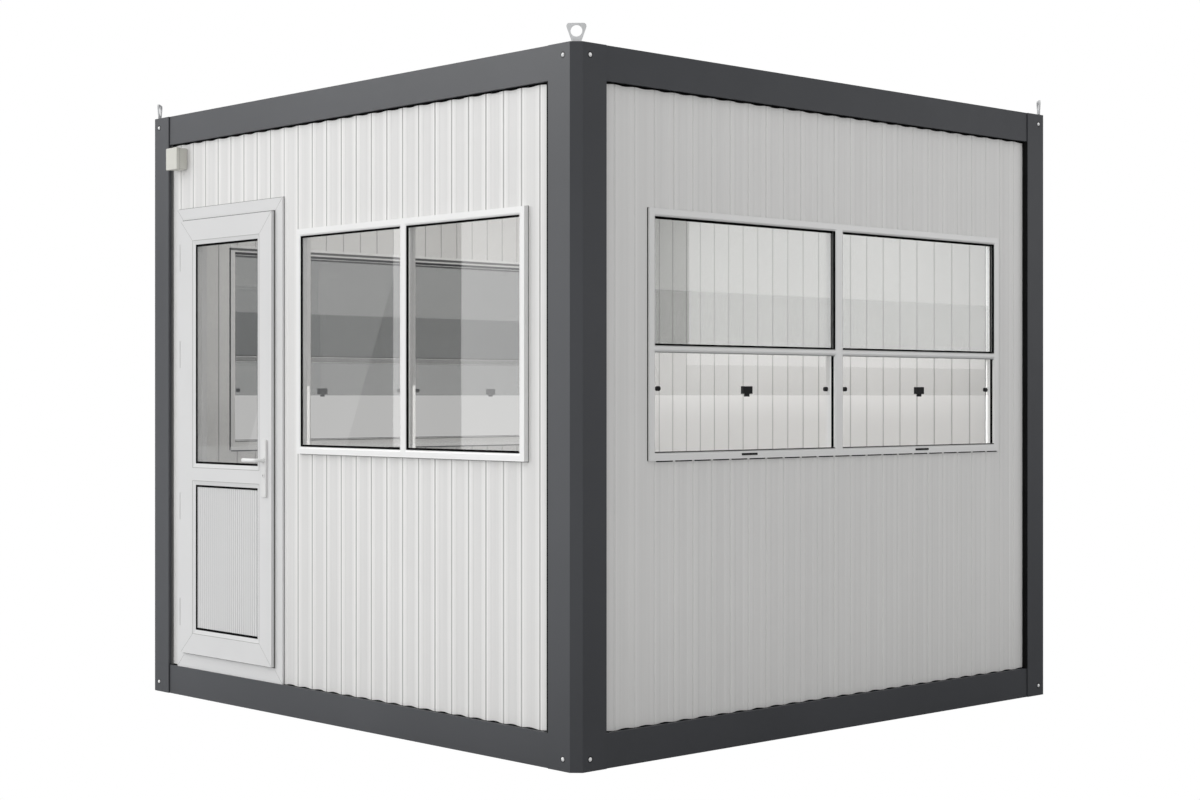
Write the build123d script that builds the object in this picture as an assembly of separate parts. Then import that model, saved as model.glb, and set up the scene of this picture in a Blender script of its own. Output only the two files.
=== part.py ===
from build123d import *
import os

os.makedirs("parts", exist_ok=True)

# Security guard booth, in millimetres.
# Origin on the ground under the middle of the booth, +Z up.
# The door wall faces -Y, the four-light windows face +X and -X.

# Steel frame
WIDTH = 2830.0
DEPTH = 2830.0
HEIGHT = 2560.0
POST = 147.0
POST_CHAMFER = 32.0
POST_WALL = 4.0
POST_CAP = 6.0
BEAM_HEIGHT = 125.0
BEAM_SETBACK = 5.0
BEAM_WALL = 4.0
BEAM_TOP_LIP = 50.0
BEAM_SHELF = 100.0
JOIST_WIDTH = 60.0
JOIST_WALL = 3.0
JOIST_PITCH = 470.0
JOISTS = 5

# Lifting eyes, standing across each corner's diagonal
EYE_INSET = 27.5
EYE_TOP_WIDTH = 79.0
EYE_BASE_WIDTH = 32.5
EYE_HEIGHT = 66.4
EYE_CORNER = 10.7
EYE_HOLE = 20.7
EYE_HOLE_Z = 39.0
EYE_THICKNESS = 6.0

# Sandwich wall panels: V grooves with a shallow pan between them
PANEL = 50.0
PANEL_RECESS = 22.0
RIB_PITCH = 100.0
FRONT_FIRST_RIB = 68.0
SIDE_FIRST_RIB = 60.0
BACK_FIRST_RIB = 22.0
OUTER_GROOVE = 9.0
OUTER_GROOVE_DEEP = 3.0
INNER_GROOVE = 7.0
INNER_GROOVE_DEEP = 2.5
PAN = 50.0
PAN_SLOPE = 5.0
PAN_DEEP = 1.2
EDGE_FLAT = 8.0

# Floor, ceiling and roof
DECK = 22.0
CEILING = 50.0
ROOF_RIB = 35.0
ROOF_PITCH = 220.0
ROOF_CREST = 110.0
ROOF_SLOPE = 25.0
ROOF_SKIN = 1.5
ROOF_SIDE_GAP = 6.0

# Door, placed from the post and the wall's top
DOOR_STRIP = 55.0
DOOR_WIDTH = 815.0
OVER_DOOR = 293.0
DOOR_FRAME = 68.0
DOOR_FRAME_PROUD = 10.0
DOOR_STOP = 12.0
DOOR_STOP_THICK = 12.0
LEAF_MARGIN = 55.0
LEAF_SILL_MARGIN = 67.0
LEAF_FLANGE = 13.0
LEAF_GAP = 5.0
LEAF_SIDE_GAP = 8.0
HINGE_STILE = 98.0
LOCK_STILE = 90.0
LEAF_RAIL = 90.0
LEAF_BEAD = 18.0
LEAF_BEAD_DEEP = 5.0
INFILL_DEEP = 10.0
MID_RAIL_RISE = 815.0
MID_RAIL = 57.0
DOOR_GLASS = 24.0
DOOR_PANEL = 20.0
DOOR_RIBS = 30
DOOR_RIB_DEEP = 2.5

# Hinges, two by the glass and two by the lower panel
HINGE_PIN = 8.0
HINGE_AXIS_OUT = 9.0
HINGE_AXIS_BACK = 8.0
HINGE_HEIGHT = 118.0
HINGE_SPLIT = 0.4
HINGE_PLATE = 5.0
HINGE_FROM_TOP = 160.0
HINGE_UNDER_RAIL = 115.0
HINGE_FROM_BOTTOM = 177.0

# Lock plates and lever handles, placed from the mid rail's top
LOCK_INSET = 44.0
LOCK_RISE = 10.0
LOCK_PLATE_WIDTH = 34.0
LOCK_PLATE_HEIGHT = 240.0
LOCK_PLATE_THICK = 10.0
LOCK_PLATE_CORNER = 8.0
LOCK_PLATE_CHAMFER = 2.0
INNER_PLATE_WIDTH = 26.0
INNER_PLATE_THICK = 8.0
LEVER_RISE = 44.0
LEVER_LENGTH = 95.0
LEVER_RADIUS = 8.0
LEVER_REACH = 40.0
INNER_LEVER_REACH = 40.0
LEVER_BEND = 14.0
LEVER_END = 3.0
LEVER_GAP = 0.3
COLLAR_RADIUS = 11.0
COLLAR_LENGTH = 8.0
CYLINDER_DROP = 19.0
CYLINDER_RADIUS = 8.5
CYLINDER_PROUD = 3.0

# Front window, which fills the wall between the pier and the corner strip
PIER = 116.0
CORNER_STRIP = 130.0
OVER_WINDOW = 434.0
WINDOW_HEIGHT = 918.0
FRONT_WINDOW_PROUD = 21.0
FRONT_WINDOW_DEEP = 45.0
FRONT_GLASS_DEEP = 6.0
FRONT_GLASS = 24.0
FRONT_MULLION = 43.0

# Side windows, level with the front one
SIDE_STRIP_FRONT = 226.0
SIDE_STRIP_BACK = 200.0
SIDE_WINDOW_PROUD = 10.0
SIDE_WINDOW_DEEP = 48.0
SIDE_GLASS_DEEP = 13.0
SIDE_GLASS = 12.0
SIDE_MULLION = 50.0
TRANSOM_RISE = 408.0
TRANSOM = 24.0

# Parts that both kinds of window share
WINDOW_FRAME = 30.0
WINDOW_BEAD = 8.0
WINDOW_BEAD_DEEP = 4.0

# Panes that slide up behind the fixed glass
SLIDER_GLASS = 6.0
SLIDER_GAP = 4.0
SLIDER_OVERLAP = 19.5
SLIDER_LIFT = 209.0
KNOB_RADIUS = 9.0
KNOB_LENGTH = 12.0
KNOB_INSET = 33.0
KNOB_LIFT = 24.0
PULL_SHIFT = 8.0
PULL_LIFT = 5.0
PULL_WIDTH = 50.0
PULL_HEIGHT = 29.0
PULL_DEEP = 14.0
PULL_STEM_WIDTH = 16.0
PULL_STEM_HEIGHT = 10.5
DRAIN_COVER_WIDTH = 86.0
DRAIN_COVER_HEIGHT = 8.0
DRAIN_COVER_THICK = 2.0
DRAIN_COVER_RISE = 16.0

# Junction box, placed from the post and the wall's top
BOX_FROM_POST = 30.0
BOX_FROM_TOP = 23.0
BOX_WIDTH = 90.0
BOX_HEIGHT = 96.0
BOX_BASE = 39.0
BOX_LID = 15.0
BOX_LID_LIP = 1.5
BOX_CORNER = 5.0
BOX_LID_CHAMFER = 2.0

# Clearance between pieces that are bonded with sealant
SEAL = 0.3

# How far a cutting solid runs past the faces that it cuts
OVERRUN = 1.0

# Levels and planes that follow from the sizes above
half_width = WIDTH / 2
half_depth = DEPTH / 2
span_x = WIDTH - 2 * POST
span_y = DEPTH - 2 * POST
wall_left = -half_width + POST
wall_right = half_width - POST
side_start = -half_depth + POST
side_end = half_depth - POST
wall_bottom = BEAM_HEIGHT
wall_top = HEIGHT - BEAM_HEIGHT
wall_inside = PANEL_RECESS + PANEL
front_crest = -half_depth + PANEL_RECESS
deck_top = BEAM_HEIGHT + DECK
ceiling_bottom = wall_top + BEAM_WALL
door_left = wall_left + DOOR_STRIP
door_right = door_left + DOOR_WIDTH
door_bottom = wall_bottom
door_top = wall_top - OVER_DOOR
window_left = door_right + PIER
window_right = wall_right - CORNER_STRIP
window_top = wall_top - OVER_WINDOW
window_bottom = window_top - WINDOW_HEIGHT
side_window_start = side_start + SIDE_STRIP_FRONT
side_window_end = side_end - SIDE_STRIP_BACK


def block(x0, x1, y0, y1, z0, z1):
    """Box between two opposite corners."""
    centre = Pos((x0 + x1) / 2, (y0 + y1) / 2, (z0 + z1) / 2)
    return centre * Box(x1 - x0, y1 - y0, z1 - z0)


def outline_up(points, z0, z1):
    """Closed outline in plan, raised from one level to another."""
    face = make_face(Polyline(*points, close=True))
    return extrude(Pos(0, 0, z0) * face, amount=z1 - z0)


def outline_along_x(points, x0, x1):
    """Closed outline of (y, z) points, drawn out along X."""
    wire = Polyline(*[(x0, y, z) for y, z in points], close=True)
    return extrude(make_face(wire), amount=x1 - x0, dir=(1, 0, 0))


def save(name, *solids):
    """Write one node."""
    shape = solids[0] if len(solids) == 1 else Compound(children=list(solids))
    export_step(shape, f"parts/{name}.step")


# The four sides: each is drawn as the front wall, then turned about Z.
FRONT, RIGHT, BACK, LEFT = 0, 90, 180, -90


def to_side(side, shape):
    return Rot(0, 0, side) * shape


def at_corners(name, shape):
    """A piece drawn at the front right corner, mirrored to the other three."""
    left = mirror(shape, about=Plane.YZ)
    pieces = {"front_right": shape, "front_left": left}
    for corner, piece in list(pieces.items()):
        pieces[corner.replace("front", "back")] = mirror(piece, about=Plane.XZ)
    return {f"{name}_{corner}": piece for corner, piece in pieces.items()}


# Corner posts
corner_x = half_width - POST / 2
corner_y = -half_depth + POST / 2


def post_outline(inset):
    half = POST / 2 - inset
    cut = POST_CHAMFER - inset * (2 - 2 ** 0.5)
    return [(-half, -half), (half - cut, -half), (half, -half + cut), (half, half), (-half, half)]


def corner_post():
    """Folded post with a chamfered outer corner."""
    tube = outline_up(post_outline(0), 0, HEIGHT)
    hollow = outline_up(post_outline(POST_WALL), 0, HEIGHT - POST_CAP)
    return Pos(corner_x, corner_y, 0) * (tube - hollow)


for name, post in at_corners("post", corner_post()).items():
    save(name, post)


# Beams: channels that open inwards, with a wide shelf for the panels
def beam(length, z0, top_flange):
    z1 = z0 + BEAM_HEIGHT
    wall = BEAM_WALL
    outline = [
        (0, z0), (BEAM_SHELF, z0), (BEAM_SHELF, z0 + wall), (wall, z0 + wall),
        (wall, z1 - wall), (top_flange, z1 - wall), (top_flange, z1), (0, z1),
    ]
    return outline_along_x(outline, -length / 2, length / 2)


def place_beam(side, half_run, length, z0, top_flange):
    shape = Pos(0, -half_run + BEAM_SETBACK, 0) * beam(length, z0, top_flange)
    return to_side(side, shape)


sides = [
    ("front", FRONT, half_depth, span_x),
    ("right", RIGHT, half_width, span_y),
    ("back", BACK, half_depth, span_x),
    ("left", LEFT, half_width, span_y),
]
for side_name, side, half_run, length in sides:
    save(f"top_beam_{side_name}", place_beam(side, half_run, length, wall_top, BEAM_TOP_LIP))
    save(f"bottom_beam_{side_name}", place_beam(side, half_run, length, 0, BEAM_SHELF))


# Lifting eyes: rounded plates with a hole, on each post top beside its chamfer
def lifting_eye():
    top = EYE_TOP_WIDTH / 2
    foot = EYE_BASE_WIDTH / 2
    outline = Polyline((-foot, 0), (foot, 0), (top, EYE_HEIGHT), (-top, EYE_HEIGHT), close=True)
    plate = make_face(outline)
    plate = fillet(plate.vertices().sort_by(Axis.Y)[-2:], EYE_CORNER)
    plate -= Pos(0, EYE_HOLE_Z) * Circle(EYE_HOLE)
    eye = extrude(plate, amount=EYE_THICKNESS / 2, both=True)
    seat = Pos(half_width - EYE_INSET, -half_depth + EYE_INSET, HEIGHT)
    return seat * Rot(0, 0, 45) * Rot(90, 0, 0) * eye


save("lifting_eyes", *at_corners("eye", lifting_eye()).values())


# Floor
def joist(x):
    run = half_depth - BEAM_SETBACK - BEAM_SHELF
    outer = block(x - JOIST_WIDTH / 2, x + JOIST_WIDTH / 2, -run, run, 0, BEAM_HEIGHT)
    inner_half = JOIST_WIDTH / 2 - JOIST_WALL
    inner = block(x - inner_half, x + inner_half, -run, run, JOIST_WALL, BEAM_HEIGHT - JOIST_WALL)
    return outer - inner


def cross_plan(reach_x, reach_y):
    """Plan that fills the floor and steps round the four posts."""
    post_x = half_width - POST
    post_y = half_depth - POST
    quarter = [(reach_x, -post_y), (reach_x, post_y), (post_x, post_y), (post_x, reach_y)]
    far = [(-x, y) for x, y in reversed(quarter)]
    low_left = [(-post_x, -post_y), (-post_x, -reach_y)]
    low_right = [(post_x, -reach_y), (post_x, -post_y)]
    return quarter + far + low_left + low_right


save("floor_joists", *[joist((i - (JOISTS - 1) / 2) * JOIST_PITCH) for i in range(JOISTS)])
deck_x = half_width - wall_inside
deck_y = half_depth - wall_inside
save("floor_deck", outline_up(cross_plan(deck_x, deck_y), BEAM_HEIGHT, deck_top))

# Ceiling panel on the top beams' shelves
ceiling_x = half_width - BEAM_SETBACK - BEAM_WALL - SEAL
ceiling_y = half_depth - BEAM_SETBACK - BEAM_WALL - SEAL
ceiling_plan = cross_plan(ceiling_x, ceiling_y)
save("ceiling_panel", outline_up(ceiling_plan, ceiling_bottom, ceiling_bottom + CEILING))


# Roof sheet: trapezoidal ribs along Y, lying on the ceiling panel
def roof_sheet():
    reach = ceiling_x - ROOF_SIDE_GAP
    ribs = int(2 * reach // ROOF_PITCH)
    start = -ribs * ROOF_PITCH / 2
    line = [(-reach, 0)]
    for i in range(ribs):
        foot = start + i * ROOF_PITCH + (ROOF_PITCH - ROOF_CREST) / 2 - ROOF_SLOPE
        line += [
            (foot, 0),
            (foot + ROOF_SLOPE, ROOF_RIB),
            (foot + ROOF_SLOPE + ROOF_CREST, ROOF_RIB),
            (foot + 2 * ROOF_SLOPE + ROOF_CREST, 0),
        ]
    line.append((reach, 0))
    upper = [(x, z + ROOF_SKIN) for x, z in reversed(line)]
    z0 = ceiling_bottom + CEILING
    wire = Polyline(*[(x, -ceiling_y, z0 + z) for x, z in line + upper], close=True)
    sheet = extrude(make_face(wire), amount=2 * ceiling_y, dir=(0, 1, 0))
    keep = outline_up(cross_plan(ceiling_x, ceiling_y), z0 - OVERRUN, z0 + ROOF_RIB + ROOF_SKIN + OVERRUN)
    return sheet & keep


save("roof_sheet", roof_sheet())


# Walls
def inside_edges(a, b, start, end):
    return a - start > EDGE_FLAT and end - b > EDGE_FLAT


def groove(middle, wide, y_face, deep):
    return [
        (middle - wide / 2, y_face),
        (middle, y_face + deep),
        (middle + wide / 2, y_face),
    ]


def pan(middle):
    """Shallow recess half way between two grooves."""
    half = PAN / 2
    return [
        (middle - half, 0),
        (middle - half + PAN_SLOPE, PAN_DEEP),
        (middle + half - PAN_SLOPE, PAN_DEEP),
        (middle + half, 0),
    ]


def wall_panel(side, half_run, start, end, z0, z1, rib):
    """Upright panel of one side; rib is where one of its grooves lies."""
    outer = []
    inner = []
    middle = rib + RIB_PITCH * ((start - rib) // RIB_PITCH)
    while middle < end:
        if inside_edges(middle - OUTER_GROOVE / 2, middle + OUTER_GROOVE / 2, start, end):
            outer += groove(middle, OUTER_GROOVE, 0, OUTER_GROOVE_DEEP)
            inner += groove(middle, INNER_GROOVE, PANEL, -INNER_GROOVE_DEEP)
        half_way = middle + RIB_PITCH / 2
        if inside_edges(half_way - PAN / 2, half_way + PAN / 2, start, end):
            outer += pan(half_way)
        middle += RIB_PITCH
    outline = [(start, 0)] + outer + [(end, 0), (end, PANEL)] + inner[::-1] + [(start, PANEL)]
    panel = outline_up(outline, z0, z1)
    return to_side(side, Pos(0, -half_run + PANEL_RECESS, 0) * panel)


def front_panel(x0, x1, z0, z1):
    return wall_panel(FRONT, half_depth, x0, x1, z0, z1, wall_left + FRONT_FIRST_RIB)


def right_panel(y0, y1, z0, z1):
    return wall_panel(RIGHT, half_width, y0, y1, z0, z1, side_start + SIDE_FIRST_RIB)


def both_sides(name, shapes):
    """The right side as drawn and the left side as its mirror image."""
    save(f"right_{name}", *shapes)
    save(f"left_{name}", *[mirror(shape, about=Plane.YZ) for shape in shapes])


save("front_wall_by_door_post", front_panel(wall_left, door_left, wall_bottom, wall_top))
save("front_wall_over_door", front_panel(door_left, door_right, door_top, wall_top))
save("front_wall_middle", front_panel(door_right, window_left, wall_bottom, wall_top))
save("front_wall_over_window", front_panel(window_left, window_right, window_top, wall_top))
save("front_wall_under_window", front_panel(window_left, window_right, wall_bottom, window_bottom))
save("front_wall_by_corner", front_panel(window_right, wall_right, wall_bottom, wall_top))

both_sides("wall_front_strip", [right_panel(side_start, side_window_start, wall_bottom, wall_top)])
both_sides("wall_back_strip", [right_panel(side_window_end, side_end, wall_bottom, wall_top)])
both_sides("wall_over_window", [right_panel(side_window_start, side_window_end, window_top, wall_top)])
both_sides(
    "wall_under_window",
    [right_panel(side_window_start, side_window_end, wall_bottom, window_bottom)],
)
back_rib = wall_left + BACK_FIRST_RIB
save("back_wall", wall_panel(BACK, half_depth, wall_left, wall_right, wall_bottom, wall_top, back_rib))


# Windows, drawn as the front wall: x along the wall, y into the room
def bead_cut(x0, x1, z0, z1, face, wide, deep):
    """Sloping bead round an opening, from an outer face down to the infill."""
    front = Plane((0, face, 0), x_dir=(1, 0, 0), z_dir=(0, 1, 0))
    middle = Pos((x0 + x1) / 2, -(z0 + z1) / 2)
    outer = front * middle * Rectangle(x1 - x0, z1 - z0)
    inner = front.offset(deep) * middle * Rectangle(x1 - x0 - 2 * wide, z1 - z0 - 2 * wide)
    return loft([outer, inner])


def window_lights(x0, x1, mullion, transom):
    """Clear lights as (left, right, bottom, top), lower ones first."""
    middle = (x0 + x1) / 2
    columns = [
        (x0 + WINDOW_FRAME, middle - mullion / 2),
        (middle + mullion / 2, x1 - WINDOW_FRAME),
    ]
    low = window_bottom + WINDOW_FRAME
    high = window_top - WINDOW_FRAME
    level = window_bottom + TRANSOM_RISE
    rows = [(low, level - transom / 2), (level + transom / 2, high)] if transom else [(low, high)]
    return [(a, b, c, d) for c, d in rows for a, b in columns]


def window_frame(x0, x1, y0, y1, mullion, transom, transom_back):
    """Welded frame with a mullion in the middle, perhaps a transom, and sloping beads."""
    frame = block(x0, x1, y0, y1, window_bottom, window_top)
    for a, b, c, d in window_lights(x0, x1, mullion, 0):
        frame -= block(a, b, y0 - OVERRUN, y1 + OVERRUN, c, d)
        if transom:
            level = window_bottom + TRANSOM_RISE
            frame += block(a, b, y0, transom_back, level - transom / 2, level + transom / 2)
    for a, b, c, d in window_lights(x0, x1, mullion, transom):
        frame -= bead_cut(
            a - WINDOW_BEAD, b + WINDOW_BEAD, c - WINDOW_BEAD, d + WINDOW_BEAD,
            y0, WINDOW_BEAD, WINDOW_BEAD_DEEP,
        )
    return frame


def pane(light, y0, thick):
    a, b, c, d = light
    return block(a, b, y0, y0 + thick, c, d)


to_front = Pos(0, -half_depth, 0)
front_face = PANEL_RECESS - FRONT_WINDOW_PROUD
front_back = front_face + FRONT_WINDOW_DEEP
front_glass_y = front_face + FRONT_GLASS_DEEP
front_lights = window_lights(window_left, window_right, FRONT_MULLION, 0)
front_frame = window_frame(window_left, window_right, front_face, front_back, FRONT_MULLION, 0, 0)
save("front_window_frame", to_front * front_frame)
front_panes = [to_front * pane(light, front_glass_y, FRONT_GLASS) for light in front_lights]
save("front_window_glass", *front_panes)

# The transom ends at the back of the fixed glass, in front of the sliders.
side_face = PANEL_RECESS - SIDE_WINDOW_PROUD
side_back = side_face + SIDE_WINDOW_DEEP
side_glass_y = side_face + SIDE_GLASS_DEEP
transom_back = side_glass_y + SIDE_GLASS
slider_y = transom_back + SLIDER_GAP
side_lights = window_lights(side_window_start, side_window_end, SIDE_MULLION, TRANSOM)
lower_lights = side_lights[:2]
upper_lights = side_lights[2:]


def on_right(shape):
    return to_side(RIGHT, Pos(0, -half_width, 0) * shape)


def slider(light):
    """Frameless pane held at its two upright edges, lifted part of the way."""
    a, b, c, d = light
    height = d - c + SLIDER_OVERLAP
    foot = c + SLIDER_LIFT
    return block(a + SEAL, b - SEAL, slider_y, slider_y + SLIDER_GLASS, foot, foot + height)


def slider_fittings(light):
    """Two side knobs and a pull at the pane's foot."""
    a, b, c, d = light
    middle = (a + b) / 2 + PULL_SHIFT
    foot = c + SLIDER_LIFT
    solids = []
    for x in (a + KNOB_INSET, b - KNOB_INSET):
        knob = Rot(90, 0, 0) * Cylinder(KNOB_RADIUS, KNOB_LENGTH)
        solids.append(Pos(x, slider_y - KNOB_LENGTH / 2, foot + KNOB_LIFT) * knob)
    grip_foot = foot + PULL_LIFT
    grip = block(
        middle - PULL_WIDTH / 2, middle + PULL_WIDTH / 2, slider_y - PULL_DEEP, slider_y,
        grip_foot, grip_foot + PULL_HEIGHT,
    )
    stem = block(
        middle - PULL_STEM_WIDTH / 2, middle + PULL_STEM_WIDTH / 2, slider_y - PULL_DEEP, slider_y,
        grip_foot - PULL_STEM_HEIGHT, grip_foot,
    )
    return solids + [grip + stem]


def drain_cover(light):
    """Flat cover over the drain slot in the frame's bottom member."""
    middle = (light[0] + light[1]) / 2
    level = window_bottom + DRAIN_COVER_RISE
    return block(
        middle - DRAIN_COVER_WIDTH / 2, middle + DRAIN_COVER_WIDTH / 2,
        side_face - DRAIN_COVER_THICK, side_face,
        level - DRAIN_COVER_HEIGHT / 2, level + DRAIN_COVER_HEIGHT / 2,
    )


side_frame = window_frame(
    side_window_start, side_window_end, side_face, side_back, SIDE_MULLION, TRANSOM, transom_back
)
side_panes = [on_right(pane(light, side_glass_y, SIDE_GLASS)) for light in upper_lights]
both_sides("window_frame", [on_right(side_frame)])
both_sides("window_fixed_glass", side_panes)
both_sides("window_sliding_panes", [on_right(slider(light)) for light in lower_lights])
fittings = [on_right(piece) for light in lower_lights for piece in slider_fittings(light)]
covers = [on_right(drain_cover(light)) for light in lower_lights]
both_sides("window_pane_fittings", fittings + covers)

# Door frame with its stop on the room side
door_face = PANEL_RECESS - DOOR_FRAME_PROUD
frame_back = wall_inside
stop_y = frame_back - DOOR_STOP_THICK


def door_ring(member, y0, y1):
    outer = block(door_left, door_right, y0, y1, door_bottom, door_top)
    inner = block(
        door_left + member, door_right - member, y0 - OVERRUN, y1 + OVERRUN,
        door_bottom + member, door_top - member,
    )
    return outer - inner


outer_ring = door_ring(DOOR_FRAME, door_face, stop_y)
stop_ring = door_ring(DOOR_FRAME + DOOR_STOP, stop_y, frame_back)
save("door_frame", to_front * (outer_ring + stop_ring))

# Door leaf: a flange in front of the frame and a body inside it
leaf_left = door_left + LEAF_MARGIN
leaf_right = door_right - LEAF_MARGIN
leaf_bottom = door_bottom + LEAF_SILL_MARGIN
leaf_top = door_top - LEAF_MARGIN
flange_back = door_face - LEAF_GAP
leaf_face = flange_back - LEAF_FLANGE
body_back = stop_y - LEAF_GAP
body_inset = DOOR_FRAME + LEAF_SIDE_GAP
light_left = leaf_left + HINGE_STILE
light_right = leaf_right - LOCK_STILE
mid_rail_top = leaf_bottom + MID_RAIL_RISE
mid_rail_bottom = mid_rail_top - MID_RAIL
glass_light = (mid_rail_top, leaf_top - LEAF_RAIL)
panel_light = (leaf_bottom + LEAF_RAIL, mid_rail_bottom)
infill_y = leaf_face + INFILL_DEEP
infill_left = light_left + LEAF_BEAD
infill_right = light_right - LEAF_BEAD


def door_leaf():
    flange = block(leaf_left, leaf_right, leaf_face, flange_back, leaf_bottom, leaf_top)
    body = block(
        door_left + body_inset, door_right - body_inset, flange_back, body_back,
        door_bottom + body_inset, door_top - body_inset,
    )
    leaf = flange + body
    for z0, z1 in (glass_light, panel_light):
        leaf -= bead_cut(light_left, light_right, z0, z1, leaf_face, LEAF_BEAD, LEAF_BEAD_DEEP)
        leaf -= block(
            infill_left, infill_right, leaf_face - OVERRUN, body_back + OVERRUN,
            z0 + LEAF_BEAD, z1 - LEAF_BEAD,
        )
    return leaf


save("door_leaf", to_front * door_leaf())


def ribbed_infill(z0, z1):
    """Lower panel with upright ribs over its outer face."""
    pitch = (infill_right - infill_left) / DOOR_RIBS
    crest = []
    for i in range(DOOR_RIBS):
        x = infill_left + i * pitch
        crest += [(x, DOOR_RIB_DEEP), (x + pitch * 0.2, 0), (x + pitch * 0.8, 0)]
    back = [(infill_right, DOOR_RIB_DEEP), (infill_right, DOOR_PANEL), (infill_left, DOOR_PANEL)]
    return Pos(0, infill_y, 0) * outline_up(crest + back, z0 + LEAF_BEAD, z1 - LEAF_BEAD)


glass_low, glass_high = glass_light
door_pane = (infill_left, infill_right, glass_low + LEAF_BEAD, glass_high - LEAF_BEAD)
save("door_glass", to_front * pane(door_pane, infill_y, DOOR_GLASS))
save("door_lower_panel", to_front * ribbed_infill(*panel_light))

# Hinges: the axis stands in front of the frame, beside the leaf's edge
hinge_x = leaf_left - HINGE_AXIS_OUT
hinge_y = leaf_face + HINGE_AXIS_BACK
hinge_levels = [
    leaf_bottom + HINGE_FROM_BOTTOM,
    mid_rail_bottom - HINGE_UNDER_RAIL,
    (glass_low + glass_high) / 2,
    leaf_top - HINGE_FROM_TOP,
]


def barrel(z0, z1):
    return Pos(hinge_x, hinge_y, (z0 + z1) / 2) * Cylinder(HINGE_PIN, z1 - z0)


def leaf_knuckle(level):
    """Upper half of the barrel with its flap on the leaf's edge."""
    z0 = level + HINGE_SPLIT / 2
    z1 = level + HINGE_HEIGHT / 2
    flap = block(hinge_x, leaf_left, hinge_y - HINGE_PLATE / 2, hinge_y + HINGE_PLATE / 2, z0, z1)
    return barrel(z0, z1) + flap


def frame_knuckle(level):
    """Lower half of the barrel with its foot on the frame's face."""
    z0 = level - HINGE_HEIGHT / 2
    z1 = level - HINGE_SPLIT / 2
    foot = block(hinge_x - HINGE_PLATE / 2, hinge_x + HINGE_PLATE / 2, hinge_y, door_face, z0, z1)
    return barrel(z0, z1) + foot


save("hinge_leaf_knuckles", *[to_front * leaf_knuckle(level) for level in hinge_levels])
save("hinge_frame_knuckles", *[to_front * frame_knuckle(level) for level in hinge_levels])

# Lock plates and lever handles on both faces of the leaf
lock_x = leaf_right - LOCK_INSET
lock_z = mid_rail_top + LOCK_RISE
lever_z = mid_rail_top + LEVER_RISE
cylinder_z = mid_rail_top - CYLINDER_DROP
outer_plate_y = leaf_face - LOCK_PLATE_THICK
inner_plate_y = body_back + INNER_PLATE_THICK


def lock_plate(wide, seat_y, face_y):
    """Plate from its seat on the leaf to its chamfered face, with the key cylinder."""
    depth = abs(face_y - seat_y)
    plate = Box(wide, depth, LOCK_PLATE_HEIGHT)
    plate = fillet(plate.edges().filter_by(Axis.Y), LOCK_PLATE_CORNER)
    plate = chamfer(plate.faces().sort_by(Axis.Y)[0].edges(), LOCK_PLATE_CHAMFER)
    length = depth + CYLINDER_PROUD
    key = Rot(90, 0, 0) * Cylinder(CYLINDER_RADIUS, length)
    key = Pos(0, (depth - length) / 2, cylinder_z - lock_z) * key
    turn = 0 if face_y < seat_y else 180
    return Pos(lock_x, (seat_y + face_y) / 2, lock_z) * Rot(0, 0, turn) * (plate + key)


def lever(root, direction, reach):
    """Collar and a bent round bar that points to the hinge side."""
    tip = root + direction * reach
    path = FilletPolyline(
        (lock_x, root, lever_z), (lock_x, tip, lever_z), (lock_x - LEVER_LENGTH, tip, lever_z),
        radius=LEVER_BEND,
    )
    bar = sweep(Plane(path @ 0, z_dir=path % 0) * Circle(LEVER_RADIUS), path)
    bar = chamfer(bar.faces().sort_by(Axis.X)[0].edges(), LEVER_END)
    collar = Rot(90, 0, 0) * Cylinder(COLLAR_RADIUS, COLLAR_LENGTH)
    return bar + Pos(lock_x, root + direction * COLLAR_LENGTH / 2, lever_z) * collar


outer_plate = lock_plate(LOCK_PLATE_WIDTH, leaf_face, outer_plate_y)
inner_plate = lock_plate(INNER_PLATE_WIDTH, body_back, inner_plate_y)
save("door_lock_plate", to_front * outer_plate, to_front * inner_plate)
outer_lever = lever(outer_plate_y - LEVER_GAP, -1, LEVER_REACH)
inner_lever = lever(inner_plate_y + LEVER_GAP, 1, INNER_LEVER_REACH)
save("door_lever", to_front * outer_lever, to_front * inner_lever)


# Junction box high on the door wall: a base and a lid that laps it
def junction_box():
    x0 = wall_left + BOX_FROM_POST
    x1 = x0 + BOX_WIDTH
    z1 = wall_top - BOX_FROM_TOP
    z0 = z1 - BOX_HEIGHT
    lip = BOX_LID_LIP
    base = block(x0 + lip, x1 - lip, -BOX_BASE, 0, z0 + lip, z1 - lip)
    base = fillet(base.edges().filter_by(Axis.Y), BOX_CORNER)
    lid = block(x0, x1, -BOX_BASE - BOX_LID, -BOX_BASE, z0, z1)
    lid = fillet(lid.edges().filter_by(Axis.Y), BOX_CORNER)
    lid = chamfer(lid.faces().sort_by(Axis.Y)[0].edges(), BOX_LID_CHAMFER)
    return [Pos(0, front_crest, 0) * piece for piece in (base, lid)]


save("junction_box", *junction_box())
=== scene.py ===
import math

import bmesh
import bpy
from mathutils import Matrix, Vector


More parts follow.
